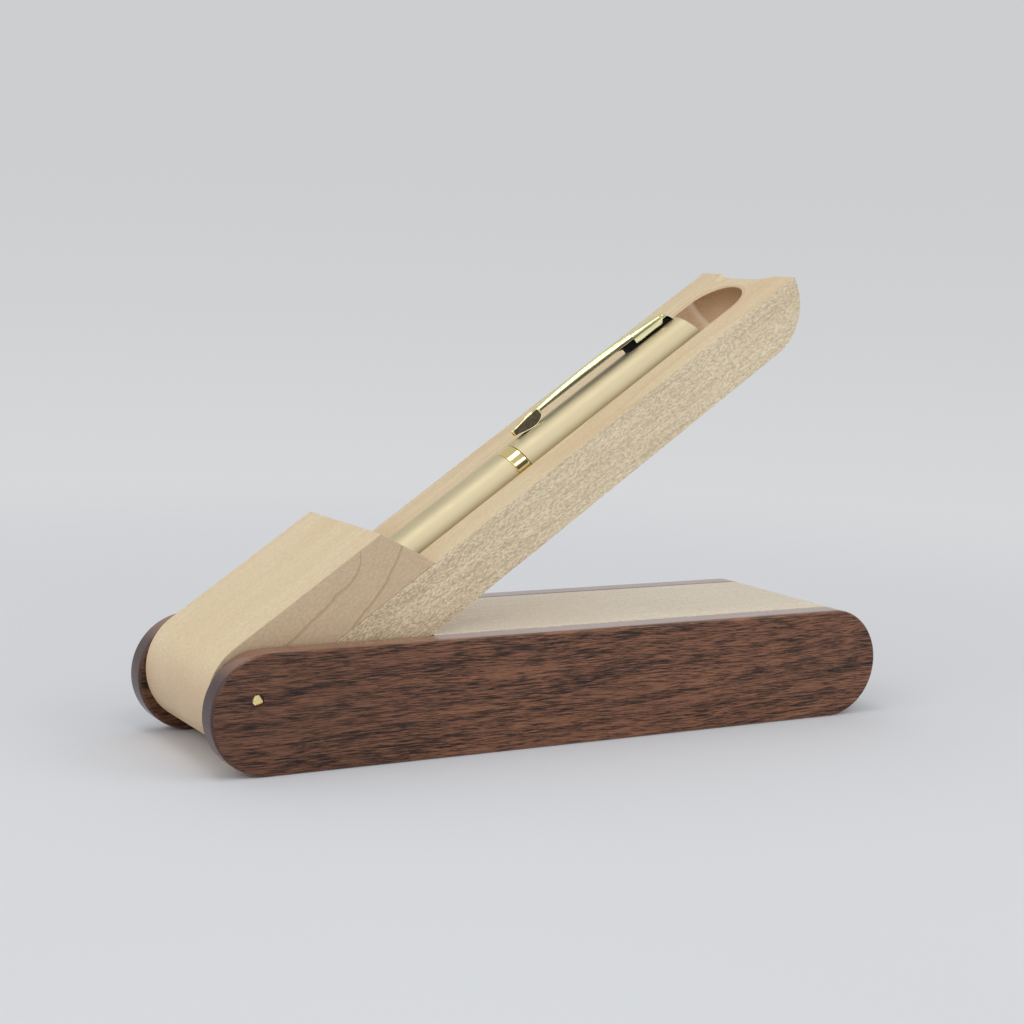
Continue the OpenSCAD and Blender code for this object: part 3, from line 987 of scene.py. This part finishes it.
# Painted sheen: a lighter warm brown for the plates' upward rims
RIM_PAINTED_SHEEN = seen(168, 120, 94)
# Painted shade: multiplier that darkens the dark plates towards their pivot end
PIVOT_END_PAINTED_SHADE = (0.72, 0.72, 0.74, 1)


def dark_wood():
    """Oiled dark hardwood: brown, with fine dark streaks gathered in slightly slanting bands."""
    material, tree, shader = begun(
        "dark_wood_oiled",
        {"IOR": 1.55, "Specular IOR Level": 0.25, "Coat Roughness": 0.06, "Coat IOR": 1.6},
    )
    place = swayed(tree, fibre_place(tree, 0), (45, 30, 20), 1.2)
    bands = grains(tree, turned_place(tree, place, 5), (34, 40, 2.6), detail=4, roughness=0.65)
    dashes = grains(tree, place, (5.5, 0.3, 0.22), detail=4, roughness=0.75)
    warm = grains(tree, place, (26, 20, 3), detail=3)
    pores = between(tree, grains(tree, place, (3, 0.5, 0.13), detail=1), 0.58, 0.74)
    gathered = reckon(tree, "MULTIPLY_ADD", bands, 0.34, dashes)
    streaks = between(tree, gathered, 0.55, 0.79)
    colour = mixed(tree, between(tree, warm, 0.36, 0.68), DARK_BROWN, WARM_BROWN)
    colour = mixed(tree, streaks, colour, DARK_STREAK)
    colour = mixed(tree, times(tree, pores, 0.4), colour, DARK_PORE)
    colour = mixed(tree, facing(tree, "X", 0.25, 0.9), colour, DARK_END_FACE)
    from_pivot = coordinates(tree, place)[0]
    # Painted shade: the colour is darkened towards the pivot end, where less light falls on the plate
    colour = mixed(tree, between(tree, from_pivot, 65, -10), colour, PIVOT_END_PAINTED_SHADE, "MULTIPLY")
    roughness = between(tree, dashes, 0.3, 0.7, 0.2, 0.28)
    rim = facing(tree, "Z", 0.5, 0.95)
    # Painted sheen: the upward rims are mixed halfway to a lighter warm brown, standing for the warm
    # light they reflect
    colour = mixed(tree, times(tree, rim, 0.5), colour, RIM_PAINTED_SHEEN)
    oiled = times(tree, rim, between(tree, from_pivot, 30, 75, 0.34, 0.82))
    tree.links.new(oiled, shader.inputs["Coat Weight"])
    relief = reckon(tree, "SUBTRACT", times(tree, dashes, 0.3), pores)
    dress(tree, shader, colour, roughness, relief, 0.006 * MM)
    return material


CREAM = seen(231, 210, 170)
PALE_CREAM = seen(237, 218, 180)
TAN = seen(212, 186, 148)
ORANGE_LINE = seen(206, 160, 116)
BROWN_LINE = seen(158, 116, 78)
END_GRAIN = (0.86, 0.8, 0.81, 1)
BASE_CREAM = seen(246, 233, 204)
BASE_PALE = seen(250, 239, 212)
SIDE_TAN = seen(196, 172, 140)
SIDE_PALE = seen(212, 187, 152)
# Saw marks and ridges: darker low on the arm for painted shade, lighter high up for painted light
SHADED_LOW_SAW_MARK = seen(172, 149, 115)
LIT_HIGH_SAW_MARK = seen(196, 175, 141)
SHADED_LOW_SAW_RIDGE = seen(239, 218, 184)
LIT_HIGH_SAW_RIDGE = seen(242, 225, 192)


def distance(tree, *lengths):
    """Length of the diagonal over two lengths at right angles."""
    squares = [reckon(tree, "POWER", length, 2) for length in lengths]
    return reckon(tree, "SQRT", reckon(tree, "ADD", *squares))


def end_grain(tree):
    """1 where the surface cuts across the holder's fibres, and 0 along them."""
    normal = put(tree, "TexCoord").outputs["Normal"]
    aligned = put(tree, "VectorMath", {0: normal, 1: pen_line}, operation="DOT_PRODUCT")
    return between(tree, reckon(tree, "ABSOLUTE", aligned.outputs["Value"]), 0.3, 0.9)


def pale_ground(tree, place, plain=CREAM, pale=PALE_CREAM):
    """Pale hardwood in quiet tones: its colour, and its fibres as a number from 0 to 1."""
    tone = grains(tree, place, (60, 9, 9), detail=2)
    fibres = grains(tree, place, (24, 0.3, 0.3), detail=3, roughness=0.6)
    ticks = between(tree, grains(tree, place, (2.5, 0.35, 0.35), detail=1), 0.66, 0.78)
    colour = mixed(tree, between(tree, tone, 0.35, 0.68), plain, pale)
    colour = mixed(tree, between(tree, fibres, 0.38, 0.72, 0, 0.42), colour, TAN)
    colour = mixed(tree, times(tree, ticks, 0.25), colour, ORANGE_LINE)
    pores = grains(tree, place, (0.9, 0.3, 0.3), detail=2, roughness=0.7)
    colour = mixed(tree, between(tree, pores, 0.42, 0.6, 0, 0.6), colour, TAN)
    return colour, fibres


def base_wood():
    """Base block: straight fine fibres."""
    material, tree, shader = begun("base_block_pale", {"IOR": 1.48})
    place = swayed(tree, fibre_place(tree, 0), (60, 30, 30), 0.8)
    colour, fibres = pale_ground(tree, place, BASE_CREAM, BASE_PALE)
    dress(tree, shader, colour, between(tree, fibres, 0.3, 0.7, 0.2, 0.28), fibres, 0.005 * MM)
    return material


def front_wood():
    """Front block: straight fibres on top, and two growth lines over its smooth tan sides."""
    material, tree, shader = begun("front_block_pale", {"IOR": 1.48})
    straight = fibre_place(tree, display_angle)
    place = swayed(tree, straight, (60, 30, 30), 0.5)
    colour, fibres = pale_ground(tree, place)
    colour = mixed(tree, end_grain(tree), colour, END_GRAIN, "MULTIPLY")
    side = facing(tree, "Y", 0.8, 0.98)
    clouds = grains(tree, straight, (0.7, 1, 0.4), detail=3, roughness=0.65)
    side_colour = mixed(tree, between(tree, clouds, 0.3, 0.7), SIDE_TAN, SIDE_PALE)
    wander = reckon(tree, "MULTIPLY_ADD", grains(tree, straight, (7, 7, 7), detail=2), 1.6, -0.8)
    x, _, z = coordinates(tree, straight)
    shut_x = reckon(tree, "ADD", x, pin_x / MM)
    shut_z = reckon(tree, "ADD", z, pivot.z / MM)
    for grown in GROWTH_LINES:
        start_z = grown["z"] - grown["slope"] * grown["x"]
        level = reckon(tree, "MULTIPLY_ADD", shut_x, grown["slope"], start_z)
        turn = reckon(tree, "DIVIDE", reckon(tree, "SUBTRACT", shut_x, grown["bend_x"]), grown["bend"])
        level = reckon(tree, "ADD", level, reckon(tree, "EXPONENT", turn))
        past = reckon(tree, "ADD", reckon(tree, "SUBTRACT", shut_z, level), wander)
        rise = between(tree, past, -GROWTH_LINE_FADE, 0)
        fall = between(tree, past, GROWTH_LINE_EDGE, 0)
        line = times(tree, times(tree, rise, fall), 0.45)
        side_colour = mixed(tree, line, side_colour, BROWN_LINE)
    colour = mixed(tree, side, colour, side_colour)
    dress(tree, shader, colour, between(tree, fibres, 0.3, 0.7, 0.42, 0.54), fibres, 0.012 * MM)
    return material


def arm_wood():
    """Arm: faint growth lines along its rails, sides rough from the saw and darkened by painted shade low
    down, browner groove end.
    """
    material, tree, shader = begun("holder_arm_pale", {"IOR": 1.48})
    straight = fibre_place(tree, display_angle)
    place = swayed(tree, straight, (60, 30, 30), 0.8)
    colour, fibres = pale_ground(tree, place)
    colour = mixed(tree, end_grain(tree), colour, END_GRAIN, "MULTIPLY")
    x, y, z = coordinates(tree, straight)
    depth = reckon(tree, "SUBTRACT", z, (arm_t - pivot.z) / MM)
    end_x = (groove_x - pin_x) / MM
    past_end = reckon(tree, "MAXIMUM", reckon(tree, "SUBTRACT", x, end_x), 0)
    off_line = distance(tree, distance(tree, y, depth), past_end)
    wall_r, side_y = groove_r / MM, holder_w / 2 / MM
    inside = between(tree, off_line, wall_r + 0.12, wall_r + 0.02)
    outside = between(tree, reckon(tree, "ABSOLUTE", y), side_y - 0.3, side_y - 0.1)
    figure = grains(tree, straight, (80, 13, 13), detail=1)
    layer = reckon(tree, "FRACT", times(tree, figure, FIGURE_LINES))
    line = times(tree, between(tree, layer, 0.45, 0.93), between(tree, layer, 1, 0.95))
    colour = mixed(tree, times(tree, line, 0.24), colour, ORANGE_LINE)
    threads = between(tree, grains(tree, straight, (150, 0.9, 0.9), detail=2), 0.42, 0.62)
    threads = times(tree, threads, between(tree, y, wall_r - 0.5, wall_r + 1))
    colour = mixed(tree, times(tree, threads, 0.5), colour, TAN)
    falling = turned_place(tree, straight, -2)
    dashes = grains(tree, falling, (0.7, 1, 0.16), detail=1)
    rows = grains(tree, falling, (22, 1, 0.8), detail=2)
    sawn = between(tree, reckon(tree, "MULTIPLY_ADD", rows, 0.35, dashes), 0.45, 0.9)
    # Painted shade: the sawn sides darken towards the pivot end, where the box shades the arm
    shade_lifts_up_arm = between(tree, x, 10, 100)
    deep_mark = mixed(tree, shade_lifts_up_arm, SHADED_LOW_SAW_MARK, LIT_HIGH_SAW_MARK)
    high_mark = mixed(tree, shade_lifts_up_arm, SHADED_LOW_SAW_RIDGE, LIT_HIGH_SAW_RIDGE)
    colour = mixed(tree, outside, colour, mixed(tree, sawn, high_mark, deep_mark))
    sawn = times(tree, sawn, outside)
    past = between(tree, x, end_x - 22, end_x - 4)
    waver = grains(tree, straight, (5, 4, 4), detail=2)
    ring = reckon(tree, "DIVIDE", reckon(tree, "ADD", depth, waver), GROOVE_RING_SPACING)
    ring = reckon(tree, "ABSOLUTE", reckon(tree, "SUBTRACT", reckon(tree, "FRACT", ring), 0.5))
    torn = grains(tree, straight, (1.4, 0.5, 0.5), detail=3, roughness=0.7)
    deep = between(tree, depth, -0.5, -5.5)
    end_colour = mixed(tree, deep, seen(156, 119, 80), seen(188, 151, 112))
    end_colour = mixed(tree, between(tree, ring, 0.2, 0.5, 0, 0.5), end_colour, seen(138, 102, 66))
    end_colour = mixed(tree, between(tree, torn, 0.42, 0.62, 0, 0.5), end_colour, seen(178, 142, 104))
    wall_colour = mixed(tree, between(tree, torn, 0.4, 0.65), seen(188, 155, 118), seen(206, 176, 140))
    wall_colour = mixed(tree, between(tree, x, end_x - 1, end_x + 0.6), wall_colour, seen(210, 184, 158))
    end_colour = mixed(tree, between(tree, x, end_x + 0.8, end_x + 1.8), wall_colour, end_colour)
    end_share = times(tree, inside, past)
    colour = mixed(tree, times(tree, end_share, 0.9), colour, end_colour)
    rim_line = reckon(tree, "ABSOLUTE", reckon(tree, "SUBTRACT", off_line, wall_r + 0.8))
    rim_share = times(tree, between(tree, rim_line, 0.4, 0.1, 0, 0.4), past)
    colour = mixed(tree, rim_share, colour, ORANGE_LINE)
    relief = reckon(tree, "MULTIPLY_ADD", sawn, -2.5, fibres)
    roughness = between(tree, fibres, 0.3, 0.7, 0.44, 0.56)
    dress(tree, shader, colour, roughness, relief, 0.02 * MM)
    return material


# Metals
def metal(name, colour, shade, rough, grain, depth):
    """Metal with a fine grain: colours of its high and low spots, two roughnesses, grain size in mm."""
    material, tree, shader = begun(name, {"Metallic": 1})
    place = millimetres(tree)
    fine = grains(tree, place, (grain,) * 3, detail=2, roughness=0.6)
    smudges = grains(tree, place, (4, 4, 4), detail=3, roughness=0.55)
    hue = mixed(tree, between(tree, smudges, 0.3, 0.7), shade, colour)
    hue = mixed(tree, between(tree, fine, 0.3, 0.7, 0, 0.3), hue, shade)
    dress(tree, shader, hue, between(tree, smudges, 0.3, 0.75, *rough), fine, depth)
    return material


def ink_tube():
    """Plastic ink tube, dark blue from the ink in it."""
    material, tree, shader = begun("ink_tube_plastic", {"IOR": 1.5})
    place = millimetres(tree)
    clouds = grains(tree, place, (3, 3, 3), detail=2)
    colour = mixed(tree, between(tree, clouds, 0.3, 0.7), seen(38, 44, 74), seen(58, 66, 100))
    dress(tree, shader, colour, between(tree, clouds, 0.3, 0.7, 0.22, 0.34), clouds, 0.01 * MM)
    return material


def painted_dark_metal(name, colour, shade):
    """Dark metal painted on the clip where shade falls inside it and where its faces show dark
    reflections.
    """
    material, tree, shader = begun(name, {"Specular IOR Level": 0.08})
    place = millimetres(tree)
    clouds = grains(tree, place, (0.8, 0.8, 0.8), detail=3)
    mix = mixed(tree, between(tree, clouds, 0.3, 0.7), shade, colour)
    dress(tree, shader, mix, between(tree, clouds, 0.3, 0.7, 0.4, 0.55), clouds, 0.01 * MM)
    return material


# Floor, light and background
BACKGROUND = (0.605, 0.617, 0.63, 1)
HORIZON = (0.675, 0.685, 0.7, 1)
DARK_ROOM = (0.1, 0.1, 0.1, 1)
DARK_SIDE = (0.03, -0.828, 0.56)
TABLE_GLOW = (1.03, 1.09, 1.32, 1)
TABLE_SIDE = (0.2, -0.977, 0.07)
FLOOR_FADE_FROM = 0.1
FLOOR_FADE_TO = 0.5
FLOOR_R = 1.0

# Parts of the room: direction, cosines of the angles where each starts and is full, and tone
ROOM_PARTS = [
    (TABLE_SIDE, 0.94, 0.985, TABLE_GLOW),
    (DARK_SIDE, 0.984, 0.997, DARK_ROOM),
]

# Lamps: place, width and height of the face in metres, and power in watts
LAMPS = {
    "overhead": ((-0.3, -0.08, 1.16), 0.34, 0.34, 1.4),
    "front": ((-0.12, -0.78, 0.98), 0.4, 0.15, 0.9),
    "left": ((-1.02, -0.25, 0.55), 1.0, 0.8, 2.6),
    "right": ((0.88, -0.78, 0.7), 0.75, 0.65, 2.7),
}


def floor_paper():
    """Matt pale paper that fades out with distance into the background."""
    material, tree, shader = begun("floor_paper", {"IOR": 1.4})
    where = put(tree, "TexCoord").outputs["Object"]
    clouds = grains(tree, where, (0.3, 0.3, 0.3), detail=2)
    tooth = grains(tree, where, (0.0006, 0.0006, 0.0006), detail=2)
    colour = mixed(tree, between(tree, clouds, 0.3, 0.7), seen(222, 223, 226), seen(225, 226, 229))
    dress(tree, shader, colour, between(tree, tooth, 0.3, 0.7, 0.85, 0.95), tooth, 0.01 * MM)
    away = put(tree, "VectorMath", {0: where}, operation="LENGTH").outputs["Value"]
    share = between(tree, away, FLOOR_FADE_FROM, FLOOR_FADE_TO)
    clear = put(tree, "BsdfTransparent").outputs["BSDF"]
    fading = put(tree, "MixShader", {0: share, 1: shader.outputs["BSDF"], 2: clear})
    tree.links.new(fading.outputs["Shader"], tree.nodes["Material Output"].inputs["Surface"])
    return material


def softbox(name, place, wide, tall, power):
    """Lamp with a broad face that looks from its place at the box."""
    lamp = bpy.data.lights.new(name, "AREA")
    lamp.shape = "RECTANGLE"
    lamp.size = wide
    lamp.size_y = tall
    lamp.energy = power
    held = bpy.data.objects.new(name, lamp)
    held.location = place
    held.rotation_euler = Vector(place).to_track_quat("Z", "Y").to_euler()
    bpy.context.scene.collection.objects.link(held)


def studio():
    world = bpy.data.worlds.new("studio")
    world.use_nodes = True
    bpy.context.scene.world = world
    tree = world.node_tree
    towards = put(tree, "TexCoord").outputs["Generated"]
    height = put(tree, "SeparateXYZ", {"Vector": towards}).outputs["Z"]
    colour = mixed(tree, between(tree, height, -0.15, 0.05), HORIZON, BACKGROUND)
    for direction, outer, inner, tone in ROOM_PARTS:
        aligned = put(tree, "VectorMath", {0: towards, 1: direction}, operation="DOT_PRODUCT")
        colour = mixed(tree, between(tree, aligned.outputs["Value"], outer, inner), colour, tone)
    tree.links.new(colour, tree.nodes["Background"].inputs["Color"])
    bpy.ops.mesh.primitive_circle_add(vertices=64, radius=FLOOR_R, fill_type="NGON")
    floor = started("floor")
    floor.data.materials.append(floor_paper())
    for name, lamp in LAMPS.items():
        softbox(name, *lamp)
    bpy.context.scene.view_settings.view_transform = "Standard"


def finished(piece, body, node, slot, *materials):
    """Gives a piece its materials, and puts it in its CAD node's place on its body."""
    for material in materials:
        piece.data.materials.append(material)
    smooth(piece)
    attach(piece, body)
    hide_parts(node)


def refinished(node, material):
    """New material on a CAD node that keeps its own shape."""
    slots = frame["nodes"][node].data.materials
    slots.clear()
    slots.append(material)


camera()
studio()

dark = dark_wood()
satin = metal("champagne_satin", seen(224, 210, 174), seen(220, 206, 170), (0.5, 0.56), 0.15, 0.003 * MM)
mirror = ((0.05, 0.12), 1.5, 0.002 * MM)
polished = metal("gold_polished", seen(246, 224, 162), seen(240, 216, 150), *mirror)
clip_gold = metal("clip_gold_polished", seen(246, 238, 181), seen(240, 230, 168), *mirror)
pin_metal = metal("pin_brass", seen(246, 228, 164), seen(222, 194, 124), (0.3, 0.45), 0.25, 0.02 * MM)
mechanism = metal("mechanism_brass", seen(226, 196, 120), seen(190, 156, 86), (0.25, 0.4), 0.3, 0.01 * MM)
steel = metal("point_steel", seen(222, 222, 220), seen(180, 180, 180), (0.12, 0.25), 0.3, 0.004 * MM)
# Painted shade and dark reflections on the clip, as dark metal
clip_hollow_shade = painted_dark_metal("clip_hollow_painted_shade", seen(16, 14, 10), seen(9, 8, 6))
# Painted reflection: dark metal for the sides of the clip's shoe
clip_shoe_reflection = painted_dark_metal("clip_shoe_painted_reflection", seen(94, 84, 66), seen(76, 68, 53))

finished(side_plate("near_side_plate_wood", -1), "base", "near_side_plate", "dark_wood", dark)
finished(side_plate("far_side_plate_wood", 1), "base", "far_side_plate", "dark_wood", dark)
finished(base_block(), "base", "base_block", "pale_wood", base_wood())
finished(pivot_pin(), "base", "pivot_pin", "pin_brass", pin_metal)
finished(holder_arm(), "holder", "holder_arm", "pale_wood", arm_wood())
finished(front_block(), "holder", "holder_front_block", "pale_wood", front_wood())
finished(upper_barrel(), "pen_upper", "pen_upper_barrel", "champagne", satin)
finished(clip(clip_gold, clip_hollow_shade, clip_shoe_reflection), "pen_upper", "pen_clip", "polished_gold")
finished(end_plug(), "pen_upper", "pen_end_plug", "champagne", satin)
finished(centre_ring(), "pen_lower", "pen_centre_ring", "polished_gold", polished)
finished(lower_barrel(), "pen_lower", "pen_lower_barrel", "champagne", satin)
finished(nose_tip(), "pen_lower", "pen_nose_tip", "polished_gold", polished)
refinished("pen_twist_head", mechanism)
refinished("pen_twist_body", mechanism)
refinished("pen_refill_tube", ink_tube())
refinished("pen_refill_point", steel)
